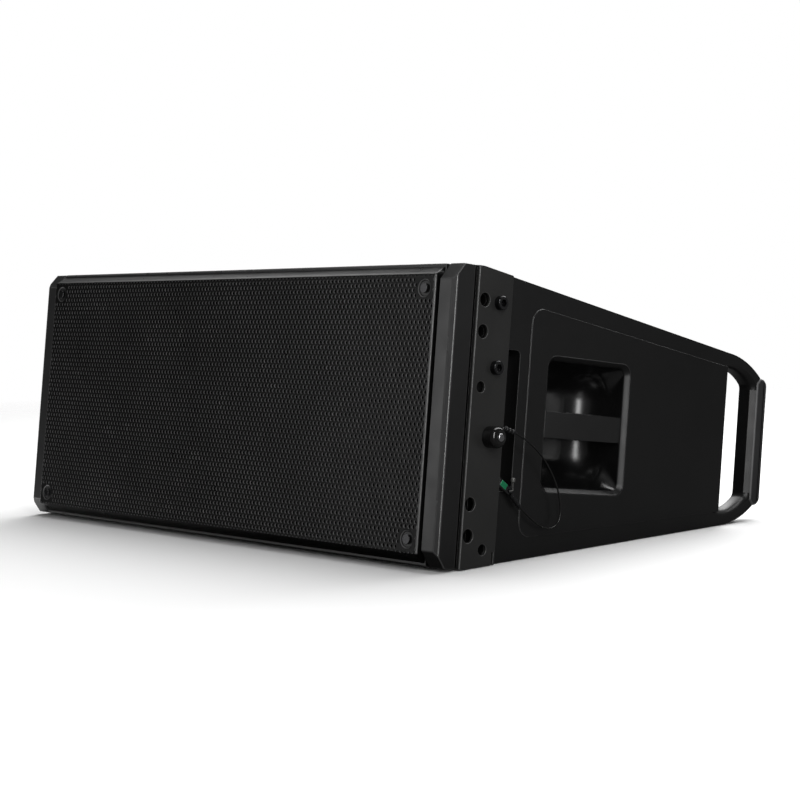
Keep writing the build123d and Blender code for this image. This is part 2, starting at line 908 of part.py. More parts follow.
spider_outline = [
    (coil_radius + 1.8, 79.0),
    (40.0, 80.5),
    (48.0, 77.5),
    (56.5, 80.0),
    (56.5, 81.0),
    (48.0, 78.5),
    (40.0, 81.5),
    (coil_radius + 1.8, 80.0),
]
write_pair(revolved(basket_outline, woofer_x), "woofer_basket")
write_pair(revolved(magnet_outline, woofer_x), "woofer_magnet")
write_pair(revolved(cone_outline, woofer_x), "woofer_cone")
write_pair(revolved(cap_outline, woofer_x), "dust_cap")
write_pair(revolved(coil_outline, woofer_x), "voice_coil")
write_group(revolved(surround_outline, woofer_x), "surrounds")
write_group(revolved(spider_outline, woofer_x), "spiders")

# ---- Waveguide and compression driver ----
with BuildPart() as waveguide:
    with BuildSketch(front_plane(baffle_front)):
        Rectangle(2 * horn_body_half_width, 2 * horn_body_half_height)
    with BuildSketch(front_plane(throat_depth)):
        Circle(throat_radius + horn_wall)
    loft()
    with BuildSketch(front_plane(baffle_front)):
        Rectangle(2 * horn_half_width, 2 * horn_half_height)
    extrude(amount=baffle_front - flange_front)
    with BuildSketch(front_plane(flange_front)):
        Rectangle(2 * horn_mouth_half_width, 2 * horn_mouth_half_height)
    with BuildSketch(front_plane(throat_depth)):
        Circle(throat_radius)
    loft(mode=Mode.SUBTRACT)
write(waveguide.part, "waveguide")

driver_outline = [
    (throat_radius, throat_depth),
    (driver_radius, throat_depth),
    (driver_radius, driver_rear),
    (0.0, driver_rear),
    (0.0, driver_rear - driver_cover),
    (driver_inner_radius, driver_rear - driver_cover),
    (driver_inner_radius, driver_chamber_rear),
    (throat_radius, driver_chamber_front),
]
write(revolved(driver_outline, 0), "compression_driver")
diaphragm_outline = [
    (0.0, 178.0),
    (24.0, 182.0),
    (30.0, 186.5),
    (30.0, 187.0),
    (24.0, 182.6),
    (0.0, 178.6),
]
write(revolved(diaphragm_outline, 0), "driver_diaphragm")

# ---- Rear panel, heat sink and electronics ----
sockets_x = signal_sockets_x + power_sockets_x
with BuildPart() as rear_panel:
    with BuildSketch(front_plane(panel_y)):
        Rectangle(2 * cheek_inner, 2 * (roof(panel_back) - wall))
        with Locations(*[(x, socket_z) for x in sockets_x]):
            Circle(socket_radius, mode=Mode.SUBTRACT)
        with Locations((knob_x, knob_z)):
            Circle(knob_shaft + running_gap, mode=Mode.SUBTRACT)
    extrude(amount=panel_y - panel_back)
write(rear_panel.part, "rear_panel")

with BuildPart() as heat_sink:
    with BuildSketch(front_plane(panel_back)):
        with Locations(((sink_left + sink_right) / 2, 0)):
            Rectangle(sink_right - sink_left, 2 * sink_half)
    extrude(amount=-sink_base)
    fin_pitch = (sink_right - sink_left - fin_thickness) / (fin_count - 1)
    with BuildSketch(front_plane(panel_back)):
        with Locations(((sink_left + sink_right) / 2, 0)):
            with GridLocations(fin_pitch, 0, fin_count, 1):
                Rectangle(fin_thickness, 2 * sink_half)
    extrude(amount=-fin_depth)
write(heat_sink.part, "heat_sink")

with BuildPart() as board:
    with BuildSketch(front_plane(board_y)):
        with Locations((board_x, 0)):
            Rectangle(board_width, board_height)
    extrude(amount=-board_thickness)
    with BuildSketch(front_plane(board_y)):
        with Locations(*block_places):
            Rectangle(block_width, block_height)
    extrude(amount=block_depth)
write(board.part, "amplifier_board")

with BuildPart() as supply:
    with BuildSketch(front_plane(panel_y)):
        with Locations((supply_x, 0)):
            Rectangle(supply_width, supply_height)
    extrude(amount=supply_depth)
    fillet(supply.edges().filter_by(backwards), radius=supply_edge_radius)
write(supply.part, "power_supply")

for label, places_x, shell_depth in (
    ("signal_sockets", signal_sockets_x, signal_depth),
    ("power_sockets", power_sockets_x, power_depth),
):
    with BuildPart() as sockets:
        with BuildSketch(front_plane(panel_back)):
            with Locations(*[(x, socket_z) for x in places_x]):
                RectangleRounded(flange_width, flange_height, flange_corner_radius)
        extrude(amount=-flange_thickness)
        with BuildSketch(front_plane(panel_back)):
            with Locations(*[(x, socket_z) for x in places_x]):
                Circle(socket_radius)
        extrude(amount=shell_depth)
        with BuildSketch(front_plane(panel_back + flange_thickness)):
            with Locations(*[(x, socket_z) for x in places_x]):
                Circle(socket_bore)
        extrude(amount=shell_depth, mode=Mode.SUBTRACT)
    write(sockets.part, label)

knob_base = panel_back + knob_gap
with BuildPart() as level_knob:
    with BuildSketch(front_plane(knob_base)):
        with Locations((knob_x, knob_z)):
            Circle(knob_size)
    extrude(amount=-knob_height)
    chamfer(level_knob.faces().sort_by(backwards)[-1].edges(), length=knob_chamfer)
    with BuildSketch(front_plane(knob_base + knob_height)):
        with Locations((knob_x, knob_z + knob_size - knob_chamfer - mark_length / 2)):
            Rectangle(mark_width, mark_length)
    extrude(amount=mark_depth, mode=Mode.SUBTRACT)
    with BuildSketch(front_plane(knob_base)):
        with Locations((knob_x, knob_z)):
            Circle(knob_shaft)
    extrude(amount=knob_shaft_length)
write(level_knob.part, "level_knob")

# ---- Rear splay bracket with its swinging link and pins ----
link_end_z = pivot_z - rear_link_length
with BuildPart() as bracket:
    with BuildSketch(front_plane(panel_back)):
        Rectangle(2 * bracket_half_width, 2 * bracket_half)
    extrude(amount=panel_back - bracket_base)
    for ear_side in (-ear_outer, ear_inner):
        with BuildSketch(side_plane(ear_side)):
            with BuildLine():
                Polyline(
                    (bracket_base, -bracket_half),
                    (bracket_base, bracket_half),
                    (ear_top_rear, bracket_half),
                    (ear_rear, ear_upper_corner),
                    (ear_rear, ear_lower_corner),
                    (ear_bottom_rear, -bracket_half),
                    close=True,
                )
            make_face()
            with Locations(*[(pivot_y, z) for z in (pivot_z, link_end_z, rear_pin_z)]):
                Circle(rear_pin_radius + running_gap, mode=Mode.SUBTRACT)
        extrude(amount=ear_outer - ear_inner)
write(bracket.part, "rear_bracket")

with BuildPart() as rear_link:
    with BuildSketch(side_plane(-rear_link_thickness / 2)):
        with Locations(Location((pivot_y, pivot_z - rear_link_length / 2), 90.0)):
            SlotCenterToCenter(rear_link_length, 2 * rear_link_half)
        with Locations((pivot_y, pivot_z), (pivot_y, link_end_z)):
            Circle(rear_pin_radius + running_gap, mode=Mode.SUBTRACT)
    extrude(amount=rear_link_thickness)
write(rear_link.part, "rear_link")

head_start = ear_outer + pivot_head_gap
with BuildPart() as pivot:
    with BuildSketch(side_plane(-head_start)):
        with Locations((pivot_y, pivot_z)):
            Circle(rear_pin_radius)
    extrude(amount=2 * head_start)
    for start_x in (-head_start - pivot_head_thickness, head_start):
        with BuildSketch(side_plane(start_x)):
            with Locations((pivot_y, pivot_z)):
                Circle(pivot_head_radius)
        extrude(amount=pivot_head_thickness)
write(pivot.part, "link_pivot")

with BuildPart() as rear_pin:
    with BuildSketch(side_plane(-ear_outer - rear_pin_overhang)):
        with Locations((pivot_y, rear_pin_z)):
            Circle(rear_pin_radius)
    extrude(amount=2 * ear_outer + rear_pin_overhang + rear_knob_gap)
    with BuildSketch(side_plane(ear_outer + rear_knob_gap)):
        with Locations((pivot_y, rear_pin_z)):
            Circle(rear_knob_radius)
    extrude(amount=rear_knob_length)
    fillet(rear_pin.faces().sort_by(Axis.X)[-1].edges(), radius=rear_knob_edge_radius)
write(rear_pin.part, "rear_lock_pin")
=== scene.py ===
import json
import math

import bmesh
import bpy
import numpy as np
from mathutils import Matrix, Vector


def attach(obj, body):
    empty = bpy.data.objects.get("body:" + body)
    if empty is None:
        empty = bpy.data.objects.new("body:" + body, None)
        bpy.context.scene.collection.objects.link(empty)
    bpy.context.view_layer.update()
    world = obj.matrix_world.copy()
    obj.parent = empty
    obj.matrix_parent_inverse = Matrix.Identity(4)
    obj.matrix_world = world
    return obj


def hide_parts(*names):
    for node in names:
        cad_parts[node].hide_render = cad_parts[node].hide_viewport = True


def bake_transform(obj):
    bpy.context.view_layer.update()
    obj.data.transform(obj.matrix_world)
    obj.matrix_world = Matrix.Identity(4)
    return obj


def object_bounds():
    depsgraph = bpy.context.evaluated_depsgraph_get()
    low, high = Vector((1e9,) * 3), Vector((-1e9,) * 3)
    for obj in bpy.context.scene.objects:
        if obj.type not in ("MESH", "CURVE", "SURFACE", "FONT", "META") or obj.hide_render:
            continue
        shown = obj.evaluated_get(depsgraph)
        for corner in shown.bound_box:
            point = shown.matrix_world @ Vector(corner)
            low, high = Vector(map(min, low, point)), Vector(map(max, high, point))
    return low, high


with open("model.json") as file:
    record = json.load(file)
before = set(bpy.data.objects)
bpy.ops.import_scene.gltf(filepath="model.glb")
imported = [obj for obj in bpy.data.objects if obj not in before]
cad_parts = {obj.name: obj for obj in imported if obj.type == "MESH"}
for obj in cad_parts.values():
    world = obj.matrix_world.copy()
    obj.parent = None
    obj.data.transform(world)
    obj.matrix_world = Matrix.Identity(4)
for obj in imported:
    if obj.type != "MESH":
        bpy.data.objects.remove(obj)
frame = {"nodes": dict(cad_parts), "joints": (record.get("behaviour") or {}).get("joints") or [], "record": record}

# Line array speaker, lying on its sloping underside. Everything is drawn in the cabinet's own
# axes (x across, y back from the front face, z up from the mid-plane), in metres, and then
# turned into the part's frame, in which those axes are tilted by the wedge angle.
cad_low, cad_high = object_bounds()
joints = {joint["name"]: joint for joint in frame["joints"]}
cabinet_up = Vector(joints["front_link_slide_right"]["axis"])
wedge_angle = math.atan2(cabinet_up.y, cabinet_up.z)
turn = Matrix.Rotation(-wedge_angle, 4, "X")


def turned_points(node):
    """A CAD node's points along the cabinet's axes, before its origin is known."""
    points = np.array([v.co for v in frame["nodes"][node].data.vertices])
    return points @ np.array(turn.to_3x3())


bezel = turned_points("corner_bezel_right")
middle_z = (bezel[:, 2].min() + bezel[:, 2].max()) / 2
cabinet_origin = Vector((0.0, bezel[:, 1].min(), middle_z))
cabinet = turn @ Matrix.Translation(cabinet_origin)


def cabinet_points(node):
    """A CAD node's points in the cabinet's own axes and origin."""
    return turned_points(node) - np.array(cabinet_origin)


def cabinet_box(node):
    """The low and high corner of a CAD node in the cabinet's axes."""
    points = cabinet_points(node)
    return Vector(points.min(0)), Vector(points.max(0))


# ---------------------------------------------------------------- materials
def graph(name):
    """A new material with its node tree and main shader."""
    material = bpy.data.materials.new(name)
    material.use_nodes = True
    tree = material.node_tree
    shader = next(n for n in tree.nodes if n.type == "BSDF_PRINCIPLED")
    return material, tree, shader


def node(tree, kind, **values):
    """A shader node with some of its inputs or properties set."""
    made = tree.nodes.new(kind)
    for key, value in values.items():
        if key in made.inputs:
            made.inputs[key].default_value = value
        else:
            setattr(made, key, value)
    return made


def noise_at(tree, size, detail):
    """A noise pattern whose blotches are about size metres across."""
    where = node(tree, "ShaderNodeTexCoord")
    pattern = node(tree, "ShaderNodeTexNoise", Scale=1.0 / size, Detail=detail)
    tree.links.new(where.outputs["Object"], pattern.inputs["Vector"])
    return pattern.outputs["Fac"]


def spread(tree, value, low, high, start=0.3, end=0.7):
    """Maps a pattern's values onto the stretch from low to high."""
    scaled = node(tree, "ShaderNodeMapRange")
    scaled.inputs["From Min"].default_value = start
    scaled.inputs["From Max"].default_value = end
    scaled.inputs["To Min"].default_value = low
    scaled.inputs["To Max"].default_value = high
    tree.links.new(value, scaled.inputs["Value"])
    return scaled.outputs["Result"]


def tint(tree, factor, dark, light):
    """A colour between dark and light."""
    mix = node(tree, "ShaderNodeMix", data_type="RGBA")
    mix.inputs[6].default_value = (*dark, 1.0)
    mix.inputs[7].default_value = (*light, 1.0)
    tree.links.new(factor, mix.inputs[0])
    return mix.outputs[2]


gloss_spread = 0.03
broad_patches = 0.09
smear_size = 0.025


def surface(
    name,
    colour,
    roughness,
    grain=0.0006,
    relief=0.25,
    depth=0.0001,
    mottle=0.18,
    metallic=0.0,
    specular=0.5,
):
    """A finish with a fine grain and slow changes of shade and gloss."""
    material, tree, shader = graph(name)
    shader.inputs["Metallic"].default_value = metallic
    shader.inputs["Specular IOR Level"].default_value = specular
    base = Vector(colour)
    broad = spread(tree, noise_at(tree, broad_patches, 4.0), 0.0, 1.0)
    shade = tint(tree, broad, base * (1 - mottle), base * (1 + mottle))
    tree.links.new(shade, shader.inputs["Base Color"])
    smears = noise_at(tree, smear_size, 5.0)
    gloss = spread(tree, smears, roughness - gloss_spread, roughness + gloss_spread)
    tree.links.new(gloss, shader.inputs["Roughness"])
    bump = node(tree, "ShaderNodeBump", Strength=relief, Distance=depth)
    tree.links.new(noise_at(tree, grain, 2.0), bump.inputs["Height"])
    tree.links.new(bump.outputs["Normal"], shader.inputs["Normal"])
    return material


looks = {
    "cabinet_plastic": dict(
        colour=(0.0055, 0.0055, 0.0056), roughness=0.36, grain=0.0005, relief=0.2, specular=0.4
    ),
    "bezel_plastic": dict(
        colour=(0.0095, 0.0095, 0.0097), roughness=0.33, grain=0.0009, relief=0.35, specular=0.45
    ),
    "cup_plastic": dict(
        colour=(0.005, 0.005, 0.0051), roughness=0.24, grain=0.002, relief=0.03, specular=0.8
    ),
    "bumper_rubber": dict(
        colour=(0.03, 0.03, 0.031), roughness=0.6, grain=0.0011,
        relief=0.35, mottle=0.3, specular=0.4
    ),
    "plate_steel": dict(
        colour=(0.024, 0.024, 0.0235), roughness=0.4, relief=0.6, depth=0.00012, specular=0.38
    ),
    # Link steel is darker than the other black finishes, so the links seen through the plate's holes read as
    # shade: a painted shade.
    "link_steel": dict(colour=(0.0025, 0.0025, 0.0025), roughness=0.5, specular=0.2),
    "bolt_steel": dict(
        colour=(0.015, 0.015, 0.016), roughness=0.2, grain=0.0004, relief=0.12, metallic=0.75
    ),
    "pin_black": dict(colour=(0.006, 0.006, 0.006), roughness=0.14, relief=0.04),
    "button_steel": dict(
        colour=(0.3, 0.3, 0.31), roughness=0.14, relief=0.05, metallic=1.0, mottle=0.05
    ),
    "lanyard_black": dict(colour=(0.006, 0.006, 0.006), roughness=0.2, grain=0.0003, specular=0.6),
    "ferrule_steel": dict(colour=(0.02, 0.02, 0.021), roughness=0.28, grain=0.0004, metallic=0.5),
    "bead_cast": dict(colour=(0.12, 0.12, 0.115), roughness=0.4, relief=0.2, metallic=0.2),
    "tag_green": dict(
        colour=(0.008, 0.2, 0.08), roughness=0.45, relief=0.1, mottle=0.12, specular=0.3
    ),
    "grille_steel": dict(
        colour=(0.003, 0.003, 0.003), roughness=0.3, grain=0.0005, relief=0.05, specular=0.1
    ),
    "foam_black": dict(
        colour=(0.002, 0.002, 0.002), roughness=0.95, grain=0.0012, relief=1.0, specular=0.02
    ),
    "basket_metal": dict(colour=(0.02, 0.02, 0.02), roughness=0.5),
    "magnet_iron": dict(colour=(0.06, 0.06, 0.06), roughness=0.55, metallic=0.6),
    "cone_paper": dict(colour=(0.02, 0.02, 0.02), roughness=0.8, relief=0.6),
    "coil_copper": dict(colour=(0.5, 0.25, 0.1), roughness=0.35, metallic=1.0),
    "surround_rubber": dict(colour=(0.015, 0.015, 0.015), roughness=0.6),
    "spider_cloth": dict(colour=(0.3, 0.2, 0.08), roughness=0.85, relief=0.8),
    "horn_plastic": dict(colour=(0.012, 0.012, 0.012), roughness=0.4),
    "diaphragm_metal": dict(colour=(0.6, 0.6, 0.62), roughness=0.3, metallic=1.0),
    "panel_aluminium": dict(
        colour=(0.014, 0.014, 0.0145), roughness=0.4, grain=0.0005, metallic=0.3
    ),
    "board_green": dict(colour=(0.01, 0.12, 0.05), roughness=0.5),
    "socket_plastic": dict(colour=(0.01, 0.01, 0.01), roughness=0.3),
}
edge_highlight_paleness = 0.045
edge_gloss = 0.8


def edge_highlight_look(look):
    """The same finish along a broken edge, paler and glossier: the paler colour is a painted highlight for light
    caught on the rounded edge, with some real paint wear.
    """
    paler = tuple(part * 2 + edge_highlight_paleness for part in look["colour"])
    return {**look, "colour": paler, "roughness": look["roughness"] * edge_gloss, "specular": 0.7}


finishes = {name: surface(name, **look) for name, look in looks.items()}
# The edge finishes are paler, glossier copies of each finish: a painted highlight along broken edges.
edges = {name: surface(f"{name}_edge", **edge_highlight_look(look)) for name, look in looks.items()}
# The grille's hole walls, dimple rims and side bends get a much paler, glossier finish: a painted highlight on the
# punched edges.
edges["grille_steel"] = surface("punched_edge_highlight", (0.09, 0.09, 0.09), 0.25, relief=0.05, specular=0.8)
slots = {row["node"]: row["material_slot"] for row in frame["record"]["subparts"]}


# ---------------------------------------------------------------- CAD nodes that stay
# Large pieces have their own edge width, in metres, by the start of the node's name.
small_edge = 0.0003
square_edge = math.radians(80)
sharp_edge = math.radians(35)
one_plane = math.radians(0.3)
same_direction = math.cos(math.radians(0.2))
slight_turn = math.cos(math.radians(32))
edge_widths = {
    "corner_bezel": 0.0009,
    "side_cheek": 0.0003,
    "rigging_plate": 0.0004,
    "rear_bumper": 0.0022,
    "top_panel": 0.0008,
    "bottom_panel": 0.0008,
    "grip_bar": 0.0006,
}


def curved_faces(mesh):
    """For each face, whether it is one small step of a curved surface rather than a flat one."""
    spots = {}
    corner = [spots.setdefault(tuple(round(c, 6) for c in v.co), v.index) for v in mesh.vertices]
    normals = np.array([f.normal for f in mesh.polygons])
    areas = np.array([f.area for f in mesh.polygons])
    sides = {}
    for f in mesh.polygons:
        loop = [corner[v] for v in f.vertices]
        for k in range(len(loop)):
            if loop[k] != loop[k - 1]:
                sides.setdefault(frozenset((loop[k], loop[k - 1])), []).append(f.index)
    meetings = [pair for pair in sides.values() if len(pair) == 2]
    group = list(range(len(areas)))

    def leader(k):
        while group[k] != k:
            group[k] = group[group[k]]
            k = group[k]
        return k

    slight = []
    for a, b in meetings:
        closeness = normals[a] @ normals[b]
        if closeness > same_direction:
            group[leader(a)] = leader(b)
        elif closeness > slight_turn:
            slight.append((a, b))
    leaders = [leader(k) for k in range(len(areas))]
    total = np.zeros(len(areas))
    np.add.at(total, leaders, areas)
    around = {}
    for a, b in slight:
        a, b = leaders[a], leaders[b]
        around.setdefault(a, set()).add(b)
        around.setdefault(b, set()).add(a)
    curved = {a for a, near in around.items() if total[a] < 3 * max(total[b] for b in near)}
    return [k in curved for k in leaders]


def dress(name):
    """Gives a CAD node its finish, welded seams, softly broken edges and smooth curves."""
    part = frame["nodes"][name]
    part.data.materials.clear()
    part.data.materials.append(finishes[slots[name]])
    part.data.materials.append(edges[slots[name]])
    if part.data.has_custom_normals:
        part.data.attributes.remove(part.data.attributes["custom_normal"])
    part.data.polygons.foreach_set("use_smooth", curved_faces(part.data))
    weld = part.modifiers.new("weld", "WELD")
    weld.merge_threshold = 1e-6
    whole = part.modifiers.new("whole_faces", "DECIMATE")
    whole.decimate_type = "DISSOLVE"
    whole.angle_limit = one_plane
    bevel = part.modifiers.new("broken_edges", "BEVEL")
    width = [w for stem, w in edge_widths.items() if name.startswith(stem)]
    bevel.width = width[0] if width else small_edge
    bevel.segments = 3
    # The bevel's faces take the paler edge finish, a painted highlight along each broken edge.
    bevel.material = 1
    bevel.use_clamp_overlap = not width
    bevel.limit_method = "ANGLE"
    # The cheek's loop has fine curved rims, so only its square edges are broken.
    bevel.angle_limit = square_edge if "cheek" in name else sharp_edge


for name in frame["nodes"]:
    dress(name)


# ---------------------------------------------------------------- new pieces
def add_piece(name, mesh, slot, body):
    """A piece from a mesh drawn in the cabinet's axes, riding on a CAD body."""
    mesh.transform(cabinet)
    mesh.materials.append(finishes[slot])
    mesh.polygons.foreach_set("use_smooth", [True] * len(mesh.polygons))
    piece = bpy.data.objects.new(name, mesh)
    bpy.context.scene.collection.objects.link(piece)
    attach(piece, body)
    return piece


# Perforated grille: hexagonal cells, each with an eight-sided hole, folded back all round
hole_pitch = 0.00567
row_pitch = 0.00509
hole_radius = 0.00205
sheet = 0.0015
bend = 0.0016
dimple_radius = 0.0098
dimple_depth = 0.0024
pad_reach = 0.0118
cut_share = 0.4
head_radius = 0.0047
# The dimple round each screw: share of its radius against share of its depth
dimple_profile = [(1.0, 0.0), (0.93, 0.12), (0.82, 0.42), (0.7, 0.8), (0.6, 1.0), (0.3, 1.0)]
bend_shares = (0.34, 0.67, 1.0)


def build_grille():
    """The folded steel sheet with its punched holes and screw dimples."""
    grille_points = cabinet_points("front_grille")
    low, high = cabinet_box("front_grille")
    front = low.y
    fold_half = grille_points[grille_points[:, 1] < front + 1e-5][:, 2].max()
    face_x, face_z = high.x - bend, fold_half - bend / 2
    screws = cabinet_box("grille_screws")[1]
    dimples = [
        (sx * (screws.x - head_radius), sz * (screws.z - head_radius))
        for sx in (-1, 1)
        for sz in (-1, 1)
    ]
    mesh_points, index, faces, highlight_flags, inward = [], {}, [], [], {}

    def vertex(x, y, z):
        key = (round(x, 7), round(y, 7), round(z, 7))
        if key not in index:
            index[key] = len(mesh_points)
            mesh_points.append(key)
        return index[key]

    # Faces marked highlighted take the paler punched-edge finish, a painted highlight.
    def face(corners, highlighted=False):
        loop = [c for i, c in enumerate(corners) if c != corners[i - 1]]
        if len(set(loop)) >= 3:
            faces.append(loop)
            highlight_flags.append(int(highlighted))

    def kept(x, z):
        """A point of the flat face, held inside its rectangle and outside the dimples."""
        x = min(max(x, -face_x), face_x)
        z = min(max(z, -face_z), face_z)
        for cx, cz in dimples:
            away = math.hypot(x - cx, z - cz)
            if away < dimple_radius:
                x = cx + (x - cx) * dimple_radius / away
                z = cz + (z - cz) * dimple_radius / away
        return x, z

    def border_places(along, across, level):
        """The places along one border of the flat face where it has points."""
        on_face = [p for p in mesh_points if p[1] == round(front, 7)]
        return sorted({p[along] for p in on_face if abs(p[across] - level) < 1e-6})

    corner_near = (hole_pitch**2 / 4 + row_pitch**2) / 2
    tip = corner_near / row_pitch
    shoulder = (corner_near - hole_pitch**2 / 4) / row_pitch
    half = hole_pitch / 2
    outline = [(half, 0), (half, shoulder), (0, tip), (-half, shoulder)]
    outline += [(-x, -z) for x, z in outline]
    ring = [(math.cos(k * math.pi / 4), math.sin(k * math.pi / 4)) for k in range(8)]
    rows = math.ceil(face_z / row_pitch) + 1
    columns = math.ceil(face_x / hole_pitch) + 1
    rims = {dimple: set() for dimple in dimples}
    for row in range(-rows, rows + 1):
        for column in range(-columns, columns + 1):
            cx = (column + (row % 2) / 2) * hole_pitch
            cz = row * row_pitch
            outer = [kept(cx + x, cz + z) for x, z in outline]
            span_x = max(x for x, z in outer) - min(x for x, z in outer)
            span_z = max(z for x, z in outer) - min(z for x, z in outer)
            if span_x < 1e-6 or span_z < 1e-6:
                continue
            for dimple in dimples:
                away = [math.hypot(x - dimple[0], z - dimple[1]) for x, z in outer]
                on_rim = [reach < dimple_radius + 1e-6 for reach in away]
                rims[dimple].update(p for p, on in zip(outer, on_rim) if on)
                if all(on_rim):
                    span_x = 0
            if span_x == 0:
                continue
            near_pad = any(max(abs(cx - x), abs(cz - z)) < pad_reach for x, z in dimples)
            overhang = hole_radius * cut_share
            holed = abs(cx) < face_x + overhang and abs(cz) < face_z + overhang
            border = [vertex(x, front, z) for x, z in outer]
            if near_pad or not holed:
                face(border)
                continue
            rim = [kept(cx + hole_radius * x, cz + hole_radius * z) for x, z in ring]
            near_side = [vertex(x, front, z) for x, z in rim]
            far_side = [vertex(x, front + sheet, z) for x, z in rim]
            inward.update({v: (-x, 0.0, -z) for v, (x, z) in zip(far_side, ring)})
            for k in range(8):
                n = (k + 1) % 8
                face([border[k], border[n], near_side[n], near_side[k]])
                face([near_side[k], near_side[n], far_side[n], far_side[k]], highlighted=True)
    for (cx, cz), rim in rims.items():
        spots = sorted(rim, key=lambda p: math.atan2(p[1] - cz, p[0] - cx))
        loops = []
        for reach, drop in dimple_profile:
            y = front + drop * dimple_depth
            loops.append([vertex(cx + (x - cx) * reach, y, cz + (z - cz) * reach) for x, z in spots])
        for a, b in zip(loops, loops[1:]):
            for k in range(len(spots)):
                face([a[k - 1], a[k], b[k], b[k - 1]], highlighted=a is loops[1])
    # The face turns over a small bend into the sloping strips and the side returns.
    strip_slope = math.atan2(high.z - fold_half, high.y - front)
    edge = [(0.0, 0.0)]
    for share in bend_shares:
        angle = share * (math.pi / 2 - strip_slope)
        edge.append((bend * (1 - math.cos(angle)), bend * math.sin(angle) / 2 + bend * 0.2 * share))
    reach_y = high.y - front
    edge.append((reach_y, high.z - face_z))
    edge.append((reach_y + sheet * 0.5, high.z - face_z - sheet))
    for sign in (-1, 1):
        base = border_places(0, 2, sign * face_z)
        lines = [[vertex(x, front + dy, sign * (face_z + dz)) for x in base] for dy, dz in edge]
        for a, b in zip(lines, lines[1:]):
            for k in range(1, len(base)):
                quad = [a[k - 1], a[k], b[k], b[k - 1]]
                face(quad if sign < 0 else quad[::-1])
        side = border_places(2, 0, sign * face_x)
        turn_over = [(0.0, 0.0)]
        for share in bend_shares:
            angle = share * math.pi / 2
            turn_over.append((bend * (1 - math.cos(angle)), bend * math.sin(angle)))
        turn_over.append((reach_y, bend))
        lines = [[vertex(sign * (face_x + dx), front + dy, z) for z in side] for dy, dx in turn_over]
        for a, b in zip(lines, lines[1:]):
            for k in range(1, len(side)):
                quad = [a[k - 1], a[k], b[k], b[k - 1]]
                face(quad if sign > 0 else quad[::-1], highlighted=b is not lines[-1])
    for sx in (-1, 1):
        for sz in (-1, 1):
            corner = [vertex(sx * face_x, front + dy, sz * (face_z + dz)) for dy, dz in edge[:-1]]
            side_line = [vertex(sx * (face_x + dx), front + dy, sz * face_z) for dy, dx in turn_over]
            for k in range(1, len(corner)):
                quad = [corner[k - 1], corner[k], side_line[k], side_line[k - 1]]
                face(quad if sx * sz < 0 else quad[::-1])
    mesh = bpy.data.meshes.new("front_grille_sheet")
    mesh.from_pydata(mesh_points, [], faces)
    tidy = bmesh.new()
    tidy.from_mesh(mesh)
    bmesh.ops.recalc_face_normals(tidy, faces=tidy.faces)
    tidy.to_mesh(mesh)
    tidy.free()
    # The punched edges roll over softly: flat at the face, turning to the hole's middle behind.
    mesh.polygons.foreach_set("use_smooth", [True] * len(mesh.polygons))
    flat = [abs(y - front) < 1e-7 for x, y, z in mesh_points]
    outward, unset = (0.0, -1.0, 0.0), (0.0, 0.0, 0.0)
    leaning = [inward.get(k, outward if on_face else unset) for k, on_face in enumerate(flat)]
    mesh.normals_split_custom_set_from_vertices(leaning)
    piece = add_piece("perforated_grille", mesh, "grille_steel", "cabinet")
    # Hole walls, the first dimple ring and the side bends take the painted-highlight finish.
    mesh.materials.append(edges["grille_steel"])
    mesh.polygons.foreach_set("material_index", highlight_flags)
    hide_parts("front_grille")


build_grille()


# Handle cups: a chamfered lip and a smooth, rounded bowl, in one thin closed shell
lip_depth = 0.0045
rim_land = 0.0004
lip_corner = 0.012
mouth_corner = 0.0082
bowl_corner = 0.034
bowl_slope = 0.1
shell_wall = 0.0022
corner_steps = 14
side_steps = 10
fillet_depth = 0.036
wall_steps = 6
fillet_steps = 18
mouth_edge = 0.0012
floor_gap = 0.0008
least_corner = 0.004
fullest_corner = 0.96


def rounded_rectangle(half_y, half_z, radius):
    """Points round a rectangle with rounded corners, the same number on every one."""
    points = []
    radius = min(radius, half_y * fullest_corner, half_z * fullest_corner)
    for quarter, (turn_y, turn_z) in enumerate(((1, 1), (-1, 1), (-1, -1), (1, -1))):
        centre_y, centre_z = turn_y * (half_y - radius), turn_z * (half_z - radius)
        for step in range(corner_steps + 1):
            angle = (quarter + step / corner_steps) * math.pi / 2
            reach_y, reach_z = radius * math.cos(angle), radius * math.sin(angle)
            points.append((centre_y + reach_y, centre_z + reach_z))
        end_y, end_z = points[-1]
        way_y, way_z = ((-1, 0), (0, -1), (1, 0), (0, 1))[quarter]
        for step in range(1, side_steps):
            go = 2 * ((half_z if quarter % 2 else half_y) - radius) * step / side_steps
            points.append((end_y + way_y * go, end_z + way_z * go))
    return points


